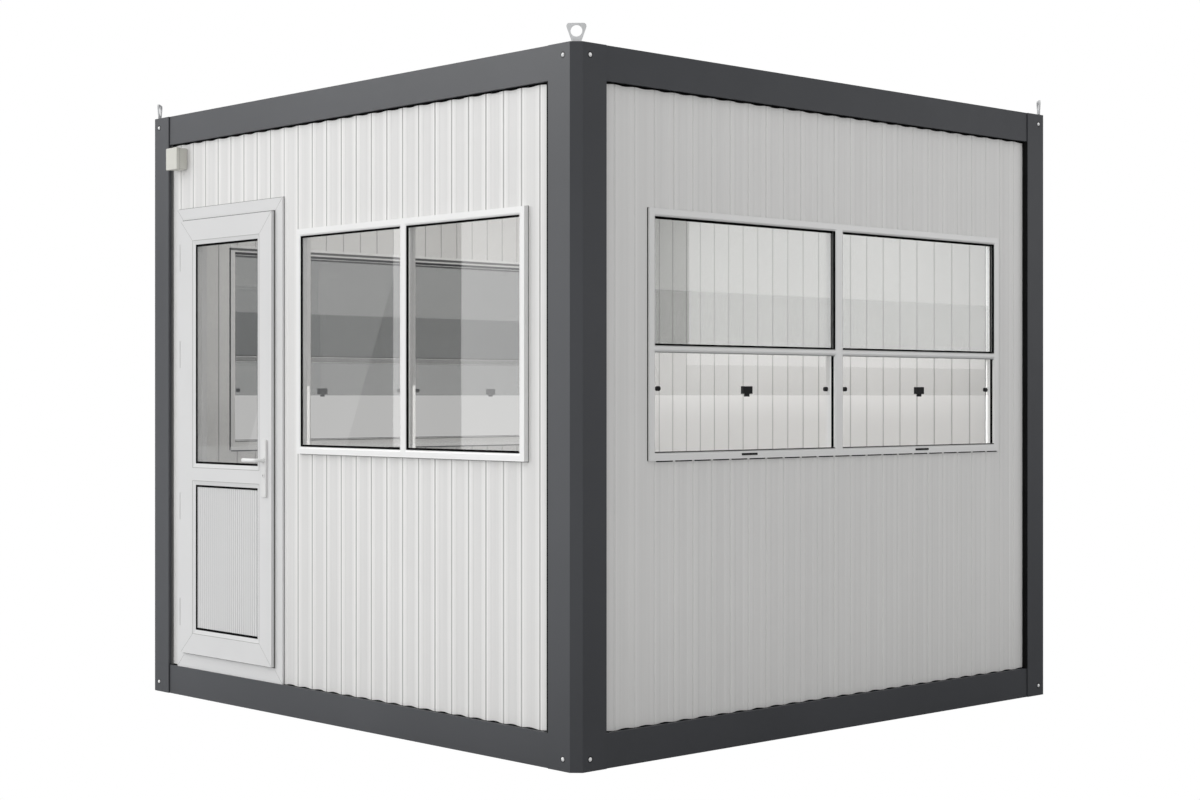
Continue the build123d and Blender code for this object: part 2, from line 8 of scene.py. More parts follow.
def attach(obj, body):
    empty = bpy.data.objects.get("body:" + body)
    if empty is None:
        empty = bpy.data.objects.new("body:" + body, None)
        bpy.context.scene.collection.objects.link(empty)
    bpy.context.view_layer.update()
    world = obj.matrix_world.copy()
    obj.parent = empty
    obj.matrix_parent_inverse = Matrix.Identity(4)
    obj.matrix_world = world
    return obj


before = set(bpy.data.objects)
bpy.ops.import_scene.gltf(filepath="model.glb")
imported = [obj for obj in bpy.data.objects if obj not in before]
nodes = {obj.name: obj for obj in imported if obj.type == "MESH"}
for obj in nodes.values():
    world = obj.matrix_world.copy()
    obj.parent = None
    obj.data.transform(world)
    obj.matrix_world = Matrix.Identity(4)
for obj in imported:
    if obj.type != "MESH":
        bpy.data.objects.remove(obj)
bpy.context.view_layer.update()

# Sizes that the trim pieces share with the frame, in metres
HALF = 1.415                    # face of a corner post from the middle
POST = 0.147
POST_IN = HALF - POST           # where the walls and beams meet a post
BEAM_OFF, WALL_OFF = 0.005, 0.022   # how far beams and walls stand back from a post's face
WALL_MIDDLE = 0.055             # a depth inside the panels, between their outer and their room side
BEAM_LOW, BEAM_HIGH, TOP = 0.125, 2.435, 2.56
PITCH = 0.1                     # from groove to groove on the wall panels
GROOVE_EDGE = 0.0052            # from a groove's middle to its edge
FRONT_START, SIDE_START, BACK_START = -1.200, -1.208, 1.246
RIBS_START, RIBS_PITCH = -1.042, 0.481 / 30     # the door's lower panel
FLUSH = 0.0008                  # how far a painted joint stands out of the wall's face

# Studio
BACKDROP_BEHIND_GLASS = 0.78    # the white backdrop as seen through a pane
MIRROR_TINT = (0.94, 0.97, 1.0, 1)


# ---------------------------------------------------------------- node helpers
class Tree:
    """A short way to write a node tree."""

    def __init__(self, material):
        self.tree = material.node_tree
        self.tree.nodes.clear()

    def add(self, kind, inputs=None, **props):
        node = self.tree.nodes.new(kind)
        for key, value in props.items():
            setattr(node, key, value)
        for key, value in (inputs or {}).items():
            if isinstance(value, bpy.types.NodeSocket):
                self.tree.links.new(value, node.inputs[key])
            else:
                node.inputs[key].default_value = value
        return node

    def maths(self, kind, a, b=None, clamp=False):
        inputs = {0: a}
        if b is not None:
            inputs[1] = b
        return self.add("ShaderNodeMath", inputs, operation=kind, use_clamp=clamp).outputs[0]

    def ramp(self, value, low, high, to_low=0.0, to_high=1.0):
        return self.add("ShaderNodeMapRange", {0: value, 1: low, 2: high, 3: to_low, 4: to_high},
                        interpolation_type="SMOOTHSTEP").outputs[0]

    def noise(self, vector, scale, detail=3.0, rough=0.5):
        return self.add("ShaderNodeTexNoise", {"Vector": vector, "Scale": scale, "Detail": detail,
                                               "Roughness": rough}).outputs[0]

    def stretched(self, vector, x, y, z):
        return self.add("ShaderNodeMapping", {"Vector": vector, "Scale": (x, y, z)}).outputs[0]

    def tint(self, colour, factor):
        """The colour times a factor, which may be a socket."""
        node = self.add("ShaderNodeVectorMath", {0: colour, "Scale": factor}, operation="SCALE")
        return node.outputs[0]


def new_material(name):
    material = bpy.data.materials.new(name)
    material.use_nodes = True
    return material, Tree(material)


def coated(name, colour, rough, spread=0.05, patch=1.6, grain=700.0, dent=0.00008, spec=0.5, metal=0.0,
           rough_spread=0.08, grooves=None, room_lines=0.0, ribs=None, streaks=0.0, low_darkening=0.0, coat=0.0):
    """Paint, plastic or plated metal: slow tone changes, fine grain in gloss and surface, and a tone growing darker
    towards the foot.
    grooves is (axis, first groove, painted shade in the groove, painted highlight on its lip, painted shade over the
    pan) on a wall panel, and room_lines is the painted shade in the grooves on the room side. ribs is (axis, first
    rib, pitch, painted shade along each rib)."""
    material, t = new_material(name)
    place = t.add("ShaderNodeTexCoord").outputs["Object"]
    slow = t.ramp(t.noise(place, patch, 4.0), 0.3, 0.7, 1.0 - spread, 1.0 + spread * 0.5)
    fine = t.noise(place, grain, 2.0)
    factor = t.maths("MULTIPLY", slow, t.ramp(fine, 0.2, 0.8, 1.0 - spread * 0.4, 1.0 + spread * 0.4))
    split = t.add("ShaderNodeSeparateXYZ", {0: place}).outputs
    if streaks:
        lines = t.noise(t.stretched(place, 46.0, 46.0, 0.25), 1.0, 4.0, 0.7)
        streak = t.ramp(lines, 0.35, 0.65, 1.0 - streaks, 1.0 + streaks * 0.6)
    if grooves:
        axis, start, depth, lip, pan = grooves
        along = t.maths("DIVIDE", t.maths("SUBTRACT", split[axis], start - PITCH / 2), PITCH)
        from_line = t.maths("MULTIPLY", t.maths("ABSOLUTE", t.maths("SUBTRACT", t.maths("FRACT", along), 0.5)),
                            PITCH)
        # Outer side: painted shade in each groove, a painted highlight on the lip beside it and painted shade over
        # the pan between the lips
        dark = t.ramp(from_line, 0.0022, GROOVE_EDGE, 1.0 - depth, 1.0)
        near = t.ramp(from_line, 0.0045, 0.0068, 0.0, lip)
        far = t.ramp(from_line, 0.0085, 0.0125, 1.0, 0.0)
        light = t.maths("ADD", t.ramp(from_line, 0.018, 0.032, 1.0, 1.0 - pan), t.maths("MULTIPLY", near, far))
        pattern = t.maths("MULTIPLY", dark, light)
        if streaks:
            pattern = t.maths("MULTIPLY", pattern, streak)
        if room_lines:
            # Room side: a plain line of painted shade in each groove
            room = t.maths("LESS_THAN", t.maths("ABSOLUTE", split[1 - axis]), HALF - WALL_MIDDLE)
            plain = t.ramp(from_line, 0.0026, 0.0042, 1.0 - room_lines, 1.0)
            pattern = t.maths("ADD", t.maths("MULTIPLY", pattern, t.maths("SUBTRACT", 1.0, room)),
                              t.maths("MULTIPLY", plain, room))
        factor = t.maths("MULTIPLY", factor, pattern)
    if ribs:
        # Painted shade along each rib
        axis, start, pitch, depth = ribs
        along = t.maths("FRACT", t.maths("DIVIDE", t.maths("SUBTRACT", split[axis], start - pitch / 2), pitch))
        from_line = t.maths("ABSOLUTE", t.maths("SUBTRACT", along, 0.5))
        factor = t.maths("MULTIPLY", factor, t.ramp(from_line, 0.10, 0.24, 1.0 - depth, 1.0))
    if streaks and not grooves:
        factor = t.maths("MULTIPLY", factor, streak)
    # Darker towards the foot, by height
    if low_darkening:
        cloud = t.noise(t.stretched(place, 5.0, 5.0, 1.2), 1.0, 5.0)
        low = t.ramp(t.maths("SUBTRACT", split[2], t.maths("MULTIPLY", cloud, 0.5)), -0.25, 0.55, 1.0 - low_darkening, 1.0)
        factor = t.maths("MULTIPLY", factor, low)
    shade = t.tint(colour, factor)
    gloss = t.maths("ADD", rough - rough_spread / 2,
                    t.maths("MULTIPLY", t.noise(place, patch * 6, 5.0, 0.6), rough_spread))
    bump = t.add("ShaderNodeBump", {"Height": fine, "Distance": dent, "Strength": 1.0}).outputs[0]
    shader = t.add("ShaderNodeBsdfPrincipled", {"Base Color": shade, "Roughness": gloss, "Normal": bump,
                                                "Metallic": metal, "Specular IOR Level": spec,
                                                "Coat Weight": coat, "Coat Roughness": 0.12})
    t.add("ShaderNodeOutputMaterial", {"Surface": shader.outputs[0]})
    return material


def glazing(name, clear, mirror, tint=(1.0, 1.0, 1.0), plain_over=None):
    """A thin pane: its outer face tints and mirrors by Fresnel, and its inner face lets all through.
    Over the height plain_over the pane lies behind another one and mirrors little."""
    material, t = new_material(name)
    place = t.add("ShaderNodeTexCoord").outputs["Object"]
    wave = t.noise(place, 1.1, 2.0)
    bump = t.add("ShaderNodeBump", {"Height": wave, "Distance": 0.0004, "Strength": 0.35}).outputs[0]
    colour = t.tint(tint, t.ramp(t.noise(place, 2.4, 3.0), 0.3, 0.7, clear * 0.985, clear * 1.015))
    through = t.add("ShaderNodeBsdfTransparent", {"Color": colour}).outputs[0]
    plain = t.add("ShaderNodeBsdfTransparent", {"Color": (1, 1, 1, 1)}).outputs[0]
    gloss = t.add("ShaderNodeBsdfGlossy", {"Color": (1, 1, 1, 1), "Roughness": 0.012, "Normal": bump}).outputs[0]
    if plain_over:
        mirror = t.ramp(t.add("ShaderNodeSeparateXYZ", {0: place}).outputs[2], plain_over - 0.01, plain_over + 0.01,
                        mirror, 0.3)
    share = t.maths("MULTIPLY", t.add("ShaderNodeFresnel", {"IOR": 1.5}).outputs[0], mirror, clamp=True)
    outer = t.add("ShaderNodeMixShader", {0: share, 1: through, 2: gloss}).outputs[0]
    rays = t.add("ShaderNodeLightPath").outputs
    back = t.add("ShaderNodeNewGeometry").outputs["Backfacing"]
    soft = t.maths("MAXIMUM", rays["Is Shadow Ray"], rays["Is Diffuse Ray"])
    open_share = t.maths("MAXIMUM", back, t.maths("MULTIPLY", soft, 0.85))
    mixed = t.add("ShaderNodeMixShader", {0: open_share, 1: outer, 2: plain}).outputs[0]
    t.add("ShaderNodeOutputMaterial", {"Surface": mixed})
    return material


# ---------------------------------------------------------------- materials
WHITE_WALL = (0.80, 0.795, 0.785)
mat = {
    # The groove tones of the walls and the ceiling are painted shade in grooves and pans and a painted highlight on
    # the lips, set for each face
    "wall_front": coated("wall_coat_front", WHITE_WALL, 0.42, 0.03, 0.9, grooves=(0, FRONT_START, 0.28, 0.14, 0.075),
                         room_lines=0.30, streaks=0.02, low_darkening=0.05),
    "wall_side": coated("wall_coat_side", WHITE_WALL, 0.42, 0.03, 0.9, grooves=(1, SIDE_START, 0.05, 0.02, 0.02),
                        room_lines=0.30, streaks=0.025, low_darkening=0.06),
    "wall_back": coated("wall_coat_back", WHITE_WALL, 0.42, 0.03, 0.9, grooves=(0, BACK_START, 0.15, 0.08, 0.05),
                        room_lines=0.30, streaks=0.02, low_darkening=0.05),
    "ceiling": coated("ceiling_coat", (0.80, 0.795, 0.79), 0.5, 0.03, 0.9,
                      grooves=(0, FRONT_START, 0.2, 0.03, 0.0)),
    "steel": coated("anthracite_paint", (0.062, 0.0645, 0.0715), 0.44, 0.07, 1.3, grain=520.0, dent=0.00012,
                    spec=0.5, low_darkening=0.10),
    "bright": coated("zinc_plate", (0.80, 0.805, 0.81), 0.30, 0.10, 9.0, metal=0.25, grain=300.0),
    # Near-white bolt heads: painted highlight for the glint of their plated heads
    "bolt": coated("bolt_painted_glint", (0.95, 0.95, 0.95), 0.22, 0.04, 40.0, grain=900.0, spec=0.8),
    "galvanised": coated("galvanised_plate", (0.50, 0.51, 0.52), 0.42, 0.16, 30.0, metal=0.8, grain=120.0),
    "roof": coated("roof_coat", (0.60, 0.61, 0.62), 0.45, 0.08, 1.1, metal=0.35, streaks=0.04, grain=260.0),
    "floor": coated("vinyl_floor", (0.40, 0.385, 0.36), 0.5, 0.14, 14.0, grain=160.0, dent=0.00010),
    # Black plastic for the pane fittings, also used for painted shade round the bolts and in the key slot
    "black": coated("black_plastic", (0.010, 0.010, 0.011), 0.5, 0.2, 9.0, grain=900.0, spec=0.3),
    # Black rubber for the gaskets, also used for strips of painted shade in gaps
    "rubber_and_shade": coated("black_seal_and_painted_shade", (0.003, 0.003, 0.003), 0.85, 0.2, 9.0, grain=900.0, spec=0.08),
    "seam": coated("seam_shadow", (0.008, 0.008, 0.008), 0.85, 0.2, 9.0, spec=0.1),
    # Grey for the panes' spacers, also used for painted shade under the transoms and behind a jamb
    "grey": coated("spacer_alloy_and_painted_shade", (0.30, 0.31, 0.31), 0.45, 0.08, 9.0, metal=0.4),
    "beige": coated("box_moulding", (0.66, 0.655, 0.60), 0.48, 0.03, 5.0, grain=1100.0, dent=0.00005),
    "metal_white": coated("white_powder_coat", (0.83, 0.83, 0.825), 0.36, 0.02, 3.0, grain=1300.0,
                          dent=0.00006),
    "pvc": coated("white_profile", (0.88, 0.88, 0.875), 0.30, 0.02, 2.0, grain=500.0, dent=0.00002, coat=0.2),
    # A darker copy of the white profile: painted shade for the side windows' frames
    "pvc_shaded_copy": coated("white_profile_painted_shade", (0.81, 0.81, 0.805), 0.30, 0.02, 2.0, grain=500.0, dent=0.00002,
                       coat=0.2),
    # Hinge knuckles in a darker grey than the door: painted shade for the dark gap lines beside them
    "hinge_shaded_grey": coated("hinge_painted_shade", (0.62, 0.62, 0.615), 0.40, 0.03, 5.0, grain=900.0, dent=0.00005),
    "plate_white": coated("lock_plate_coat", (0.745, 0.745, 0.74), 0.36, 0.02, 3.0, grain=1300.0, dent=0.00005),
    # A brighter copy of the white profile: painted light on the lit reveals behind the glass
    "pvc_painted_light": coated("white_profile_painted_light", (0.97, 0.97, 0.96), 0.35, 0.01, 2.0, grain=500.0, dent=0.00002),
    "pvc_door": coated("door_profile", (0.715, 0.715, 0.715), 0.34, 0.02, 2.0, grain=500.0, dent=0.00002, coat=0.1),
    # The ribbed panel carries painted shade along each rib
    "pvc_ribs": coated("ribbed_panel", (0.715, 0.715, 0.715), 0.34, 0.02, 2.0, grain=500.0, dent=0.00002, coat=0.1,
                       ribs=(0, RIBS_START, RIBS_PITCH, 0.16)),
    "hairline": coated("profile_joint", (0.40, 0.40, 0.39), 0.6, 0.06, 4.0),
    # Dark grey for the junction box's joint and for strips of painted shade at the door, the front window and the
    # post beside the door
    "shade": coated("dark_joint_and_painted_shade", (0.12, 0.12, 0.118), 0.65, 0.1, 6.0),
    # Dark grey for the sealed units' edges and for painted shade at the room-side trims
    "band": coated("grey_edge_and_painted_shade", (0.09, 0.09, 0.088), 0.6, 0.1, 6.0),
    "glass_front": glazing("sealed_glass_front", 0.59, 1.9, (1.0, 0.993, 0.975)),
    "glass_right": glazing("sealed_glass_right", 0.64, 1.9, (0.985, 1.0, 0.99)),
    "glass_left": glazing("sealed_glass_left", 0.47, 1.9, (0.985, 1.0, 0.995)),
    "slide_right": glazing("single_glass_right", 0.83, 0.85, (1.0, 1.0, 0.995), plain_over=1.491),
    "slide_left": glazing("single_glass_left", 0.52, 1.6, (0.985, 1.0, 0.995)),
}

finishes = {n: "steel" for n in nodes if n.startswith(("post_", "top_beam", "bottom_beam"))}
finishes.update({n: "wall_front" for n in nodes if n.startswith("front_wall")})
finishes.update({n: "wall_side" for n in nodes if n.startswith(("left_wall", "right_wall"))})
finishes.update({n: "pvc" if n.startswith("front") else "pvc_shaded_copy" for n in nodes if n.endswith("window_frame")})
finishes.update({n: "glass_front" for n in nodes if n.endswith("_glass")})
finishes.update({n: "glass_" + n.split("_")[0] for n in nodes if n.endswith("fixed_glass")})
finishes.update({n: "slide_" + n.split("_")[0] for n in nodes if n.endswith("sliding_panes")})
finishes.update({n: "black" for n in nodes if n.endswith("pane_fittings")})
finishes.update({
    "back_wall": "wall_back", "ceiling_panel": "ceiling", "floor_deck": "floor", "floor_joists": "galvanised",
    "roof_sheet": "roof", "lifting_eyes": "bright", "junction_box": "beige", "door_frame": "pvc_door",
    "door_leaf": "pvc_door", "door_lower_panel": "pvc_ribs", "door_lock_plate": "plate_white",
    "door_lever": "metal_white", "hinge_frame_knuckles": "hinge_shaded_grey", "hinge_leaf_knuckles": "hinge_shaded_grey",
})
rounded = {"steel": 0.0022, "pvc": 0.0009, "pvc_shaded_copy": 0.0009, "pvc_door": 0.0007, "hinge_shaded_grey": 0.0010,
           "plate_white": 0.0012, "metal_white": 0.0012, "bright": 0.0022, "beige": 0.0025}
for name, node in nodes.items():
    key = finishes[name]
    node.data.materials.clear()
    node.data.materials.append(mat[key])
    if key in rounded:
        edge = node.modifiers.new("soft_edges", "BEVEL")
        edge.width, edge.segments = rounded[key], 2
        edge.limit_method, edge.angle_limit = "ANGLE", math.radians(28)
        edge.harden_normals = False


# ---------------------------------------------------------------- mesh helpers
def piece(name, build, body, material, bevel=0.0, smooth=False):
    """A mesh piece: build fills a bmesh, in metres in the row frame."""
    shape = bmesh.new()
    build(shape)
    bmesh.ops.recalc_face_normals(shape, faces=shape.faces[:])
    data = bpy.data.meshes.new(name)
    shape.to_mesh(data)
    shape.free()
    data.materials.append(mat[material])
    if smooth:
        for face in data.polygons:
            face.use_smooth = True
    made = bpy.data.objects.new(name, data)
    bpy.context.scene.collection.objects.link(made)
    if bevel:
        edge = made.modifiers.new("soft_edges", "BEVEL")
        edge.width, edge.segments, edge.limit_method = bevel, 2, "ANGLE"
    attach(made, body)
    return made


def bar(shape, x, y, z):
    """A straight strip between the limits in x, y and z."""
    lows, highs = [min(v) for v in (x, y, z)], [max(v) for v in (x, y, z)]
    made = bmesh.ops.create_cube(shape, size=1.0)
    for v in made["verts"]:
        v.co = Vector([lows[i] if v.co[i] < 0 else highs[i] for i in range(3)])


def sweep(shape, loops, shut=True):
    """Skins closed loops of points, one after another, and may shut both ends."""
    rows = [[shape.verts.new(p) for p in loop] for loop in loops]
    for a, b in zip(rows, rows[1:]):
        for i in range(len(a)):
            j = (i + 1) % len(a)
            shape.faces.new((a[i], a[j], b[j], b[i]))
    if shut:
        shape.faces.new(rows[0][::-1])
        shape.faces.new(rows[-1])


def window_ring(shape, across, upright, depth, width, at, sides=(1, 1, 1, 1)):
    """A mitred ring inside the opening across x upright. depth is (front, back), width is how far it reaches in.
    at turns (across, depth, up) into a place. sides switches left, right, lower and upper strips."""
    (a0, a1), (b0, b1) = across, upright
    outer = [(a0, b0), (a1, b0), (a1, b1), (a0, b1)]
    inner = [(a0 + width, b0 + width), (a1 - width, b0 + width),
             (a1 - width, b1 - width), (a0 + width, b1 - width)]
    order = {3: sides[0], 1: sides[1], 0: sides[2], 2: sides[3]}
    for i, on in order.items():
        if not on:
            continue
        j = (i + 1) % 4
        loops = []
        for d in depth:
            loops.append([at(outer[i][0], d, outer[i][1]), at(outer[j][0], d, outer[j][1]),
                          at(inner[j][0], d, inner[j][1]), at(inner[i][0], d, inner[i][1])])
        sweep(shape, loops)


def on_front(a, d, up):
    return (a, -HALF + d, up)


def on_right(a, d, up):
    return (HALF - d, a, up)


def on_left(a, d, up):
    return (-HALF + d, a, up)


def on_back(a, d, up):
    return (a, HALF - d, up)


def box_between(shape, side, across, up, depth):
    """A straight strip on one side of the booth."""
    bar(shape, *zip(side(across[0], depth[0], up[0]), side(across[1], depth[1], up[1])))


def wall_joints(shape, side, strips):
    """Fine strips on a wall's face, each one (across, across, up, up)."""
    for a0, a1, b0, b1 in strips:
        box_between(shape, side, (a0, a1), (b0, b1), (WALL_OFF - FLUSH, WALL_OFF + 0.003))


# ---------------------------------------------------------------- bolts at the ends of the beams
BOLT_STEPS = 20
BOLT_INSET, BOLT_RISE = 0.068, 0.043    # from a post's outer edge, and from the booth's foot or top
BOLT_HEAD = [(0.0078, 0.0), (0.0078, 0.0008), (0.0058, 0.0012), (0.0056, 0.0028), (0.0042, 0.0040), (0.0018, 0.0046)]
# Profile of the black ring of painted shade round each bolt
BOLT_SHADE_RING = [(0.0115, 0.0), (0.0105, 0.0006), (0.0070, 0.0006)]


def at_bolt(side, across, up):
    def place(a, rise, b):
        return side(across + a, -rise, up + b)
    return place


bolt_places = [at_bolt(side, across, up) for side in (on_front, on_right, on_left, on_back)
               for across in (-HALF + BOLT_INSET, HALF - BOLT_INSET) for up in (BOLT_RISE, TOP - BOLT_RISE)]


def turned(shape, place, profile, shut):
    """Turns a profile of (radius, rise) about a bolt's axis."""
    turns = [2 * math.pi * k / BOLT_STEPS for k in range(BOLT_STEPS)]
    sweep(shape, [[place(radius * math.cos(turn), rise, radius * math.sin(turn)) for turn in turns]
                  for radius, rise in profile], shut)


def bolts(shape):
    """Low domed heads with a washer."""
    for place in bolt_places:
        turned(shape, place, BOLT_HEAD, True)


def bolt_rings(shape):
    """A black ring round each bolt: painted shade for the recess there."""
    for place in bolt_places:
        turned(shape, place, BOLT_SHADE_RING, False)


piece("corner_bolts", bolts, "booth", "bolt", smooth=True)
piece("bolt_shade_rings", bolt_rings, "booth", "black")


# ---------------------------------------------------------------- seals and painted shade where the walls meet the frame
def scalloped(shape, side, start, level, rise, outer, least=0.62):
    """A black strip along a beam, sealant and painted shade in the gap, a little taller in each pan than beside the
    grooves.
    """
    steps = int(round(2 * POST_IN / (PITCH / 8)))
    behind = WALL_OFF + 0.004
    loops = []
    for k in range(steps + 1):
        across = -POST_IN + 2 * POST_IN * k / steps
        phase = ((across - start) / PITCH) % 1.0
        height = rise * (least + (1.0 - least) * math.sin(math.pi * phase) ** 2)
        ends = [(outer, level), (outer, level + height), (behind, level + height), (behind, level)]
        loops.append([side(across, d, up) for d, up in ends])
    sweep(shape, loops)


def wall_sealant_and_gap_shade(shape):
    starts = ((on_front, FRONT_START), (on_right, SIDE_START), (on_left, SIDE_START), (on_back, BACK_START))
    for side, start in starts:
        scalloped(shape, side, start, BEAM_HIGH, -0.0088, WALL_OFF - 0.0012)
        scalloped(shape, side, start, BEAM_LOW, 0.0050, WALL_OFF - 0.0012, 0.15)


piece("wall_to_beam_sealant_and_gap_shade", wall_sealant_and_gap_shade, "booth", "rubber_and_shade")


def post_seals(grey):
    """Sealant between the walls and the posts; the strip left of the door is grey, painted shade of the post's
    return there.
    """
    def build(shape):
        for side in (on_front, on_back, on_right, on_left):
            for across, wide in ((-POST_IN, 0.0065), (POST_IN, -0.0065)):
                outer = 0.014
                if (side is on_front and across < 0) is not grey:
                    continue
                if side in (on_front, on_right) and across > 0:
                    wide, outer = -0.011, 0.003
                box_between(shape, side, (across, across + wide), (BEAM_LOW, BEAM_HIGH), (outer, WALL_OFF + 0.002))
    return build


piece("wall_to_post_seals", post_seals(False), "booth", "seam", bevel=0.001)
piece("door_side_post_painted_shade", post_seals(True), "booth", "shade", bevel=0.001)


def beam_seams(shape):
    """The fine dark joint where each beam meets a post."""
    for side in (on_front, on_right, on_left, on_back):
        for across in (-POST_IN, POST_IN):
            for up in ((0.002, BEAM_LOW - 0.001), (BEAM_HIGH + 0.001, TOP - 0.002)):
                edge = 0.0010 if across < 0 else -0.0010
                box_between(shape, side, (across, across + edge), up, (BEAM_OFF - 0.0004, BEAM_OFF + 0.002))


piece("beam_to_post_seams", beam_seams, "booth", "seam")


# ---------------------------------------------------------------- glazing seals of the windows, and painted shade in their joints
# Outer edges of the frames, then the lights inside them
FRONT_OUT, SIDE_OUT = (-0.282, 1.138), (-1.042, 1.068)
WINDOW_UP = (1.083, 2.001)
FRONT_ACROSS = [(-0.252, 0.4065), (0.4495, 1.108)]
SIDE_ACROSS = [(-1.012, -0.012), (0.038, 1.038)]
LIGHT_UP, SIDE_UP, SIDE_LOW = (1.113, 1.971), (1.503, 1.971), (1.113, 1.479)
# Depths behind a post's face: beads, faces of the glass, and the room side
FRONT_BEAD, FRONT_LIP, FRONT_GLASS = 0.0015, 0.0052, 0.0069
FRONT_LINING = (0.0316, 0.0455)
SIDE_BEAD, SIDE_LIP, SIDE_GLASS = 0.0128, 0.0235, 0.0249
SIDE_TRACK, SIDE_LINING = (0.0376, 0.0405), (0.0480, 0.0595)
SIDE_ROOM, WALL_ROOM = 0.0597, 0.0715
THIN, HAIR = 0.0012, 0.0008     # how far strips reach into a light


def front_gaskets(shape):
    """Black seals in front of the sealed units, with a lip along the beads."""
    for across in FRONT_ACROSS:
        window_ring(shape, across, LIGHT_UP, (FRONT_LIP, FRONT_GLASS), 0.0078, on_front, sides=(1, 0, 1, 1))
        window_ring(shape, across, LIGHT_UP, (FRONT_BEAD, FRONT_LIP), 0.0010, on_front, sides=(1, 0, 1, 1))


piece("front_window_gaskets", front_gaskets, "booth", "rubber_and_shade")


def front_lining(shape):
    """White profile seen through the glass, behind the sealed units."""
    for across in FRONT_ACROSS:
        window_ring(shape, across, LIGHT_UP, FRONT_LINING, HAIR, on_front)


def front_lining_low(shape):
    """The lower part of the left reveals, in a brighter white as painted light where it catches the light."""
    for across in FRONT_ACROSS:
        box_between(shape, on_front, (across[0], across[0] + THIN), (LIGHT_UP[0] + 0.001, 1.36), (0.0317, 0.0454))


piece("front_window_lining", front_lining, "booth", "pvc")
linings = [piece("front_window_low_lining", front_lining_low, "booth", "pvc_painted_light")]


def side_gaskets(side):
    """Black seals in front of the upper panes and in the lower lights."""
    def build(shape):
        for across in SIDE_ACROSS:
            window_ring(shape, across, SIDE_UP, (SIDE_BEAD, 0.0236), THIN, side, sides=(0, 1, 1, 1))
            window_ring(shape, across, SIDE_UP, (SIDE_LIP, SIDE_GLASS), 0.0080, side, sides=(0, 0, 0, 1))
            window_ring(shape, across, SIDE_UP, (SIDE_LIP, SIDE_GLASS), 0.0068, side, sides=(0, 0, 1, 0))
            window_ring(shape, across, SIDE_LOW, (0.0215, 0.0330), THIN, side, sides=(0, 1, 0, 0))
            window_ring(shape, across, SIDE_LOW, (SIDE_BEAD, 0.0200), 0.0028, side, sides=(0, 0, 1, 0))
    return build


def side_spacers(side):
    """Grey strips: a pane's edge at one jamb, painted shade on the joint behind the other, and painted shade under
    the transom.
    """
    def build(shape):
        for end, across in enumerate(SIDE_ACROSS):
            window_ring(shape, across, SIDE_UP, (SIDE_LIP, SIDE_GLASS), 0.0020, side, sides=(1, 0, 0, 0))
            for up in (SIDE_UP, SIDE_LOW):
                window_ring(shape, across, up, (0.0560, SIDE_ROOM), 0.0014, side, sides=(0, end, 0, 0))
            window_ring(shape, across, SIDE_LOW, (SIDE_BEAD, 0.0230), 0.0024, side, sides=(0, 0, 0, 1))
    return build


def side_edges(side):
    """The dark edge of the sealed unit behind its gasket."""
    def build(shape):
        for across in SIDE_ACROSS:
            window_ring(shape, across, SIDE_UP, (0.0255, 0.0345), THIN, side, sides=(0, 1, 0, 0))
    return build


def side_lining(side):
    """Profile behind the panes in a brighter white as painted light, but not along the mullion."""
    def build(shape):
        for end, across in enumerate(SIDE_ACROSS):
            window_ring(shape, across, SIDE_UP, SIDE_TRACK, HAIR, side, sides=(0, end, 0, 0))
            for up in (SIDE_UP, SIDE_LOW):
                window_ring(shape, across, up, SIDE_LINING, HAIR, side, sides=(1, end, 1, 1))
    return build


def side_room_lines(side):
    """Black strips of painted shade in the joints on the room side: over the lights, under them and beside the
    frame.
    """
    def build(shape):
        back = (SIDE_ROOM, 0.0608)
        for across in SIDE_ACROSS:
            box_between(shape, side, across, (1.9715, 1.9830), back)
            box_between(shape, side, across, (1.1085, 1.1112), back)
        for edge in ((SIDE_OUT[0] - 0.008, SIDE_OUT[0]), (SIDE_OUT[1], SIDE_OUT[1] + 0.008)):
            box_between(shape, side, edge, (WINDOW_UP[0] - 0.013, WINDOW_UP[1]), (WALL_ROOM, 0.0724))
    return build


def side_room_bands(side):
    """Grey painted shade on the room side: under the head trim and over the sill trim."""
    def build(shape):
        box_between(shape, side, SIDE_OUT, (1.9910, 2.0012), (SIDE_ROOM, 0.0610))
        box_between(shape, side, SIDE_OUT, (1.0640, 1.0700), (WALL_ROOM, 0.0724))
    return build


def side_room_trims(side):
    """Head and sill trims on the room side."""
    def build(shape):
        across = (SIDE_OUT[0] - 0.004, SIDE_OUT[1] + 0.004)
        box_between(shape, side, across, (2.0012, 2.0122), (0.0600, 0.0755))
        box_between(shape, side, across, (1.0700, 1.0828), (0.0600, 0.0800))
    return build


for tag, side in (("right", on_right), ("left", on_left)):
    piece(tag + "_window_gaskets", side_gaskets(side), "booth", "rubber_and_shade")
    piece(tag + "_window_spacers", side_spacers(side), "booth", "grey")
    piece(tag + "_window_edges", side_edges(side), "booth", "band")
    linings.append(piece(tag + "_window_lining", side_lining(side), "booth", "pvc_painted_light"))
    piece(tag + "_window_room_shade_lines", side_room_lines(side), "booth", "rubber_and_shade")
    piece(tag + "_window_room_shade_bands", side_room_bands(side), "booth", "band")
    piece(tag + "_window_room_trims", side_room_trims(side), "booth", "pvc", bevel=0.0008)


